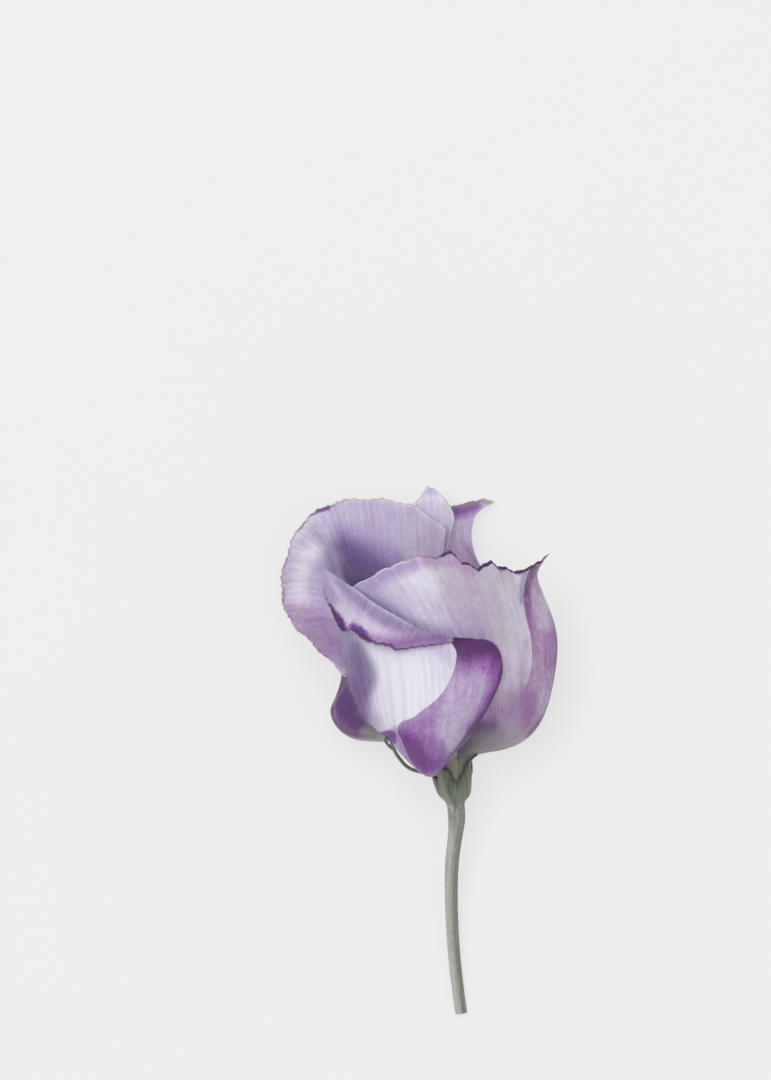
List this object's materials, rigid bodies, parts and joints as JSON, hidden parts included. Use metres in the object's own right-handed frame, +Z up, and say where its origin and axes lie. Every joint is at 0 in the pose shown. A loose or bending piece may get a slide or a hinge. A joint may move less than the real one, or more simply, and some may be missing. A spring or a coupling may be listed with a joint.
{
  "type": "lisianthus flower",
  "caption": "Cut lisianthus bloom lying on its back: broad overlapping petals with rolled and waved rims, a green calyx with thread-like sepals and a short bare stem.",
  "frame": {"origin": "middle of the footprint, on the surface that the flower lies on", "axes": "+Z up, +Y from the cut end of the stem towards the bloom, +X to the right as seen from above"},
  "size_m": [0.0606, 0.1154, 0.0521],
  "materials": {
    "stem": "soft, smooth, slightly waxy plant skin",
    "calyx": "soft, slightly waxy plant skin with a raised keel on each sepal",
    "petal_front": "thin velvety petal, white with a purple band on its right",
    "petal_right": "thin velvety petal, pale lavender with fine upright veins and a purple rim",
    "petal_back_right": "thin velvety petal, lavender darkening to purple at its rim",
    "petal_back": "thin velvety petal, pale lavender",
    "petal_left": "thin velvety petal, pale lavender with purple marks along its crinkled rim",
    "pistil": "smooth green ovary and style with a paler stigma",
    "stamens": "pale filaments with powdery yellow anthers"
  },
  "bodies": {
    "root": {"stem": "stem", "calyx": "calyx", "petal_front": "petal_front", "petal_right": "petal_right", "petal_back_right": "petal_back_right", "petal_back": "petal_back", "petal_left": "petal_left", "pistil": "pistil", "stamens": "stamens"}
  },
  "joints": []
}
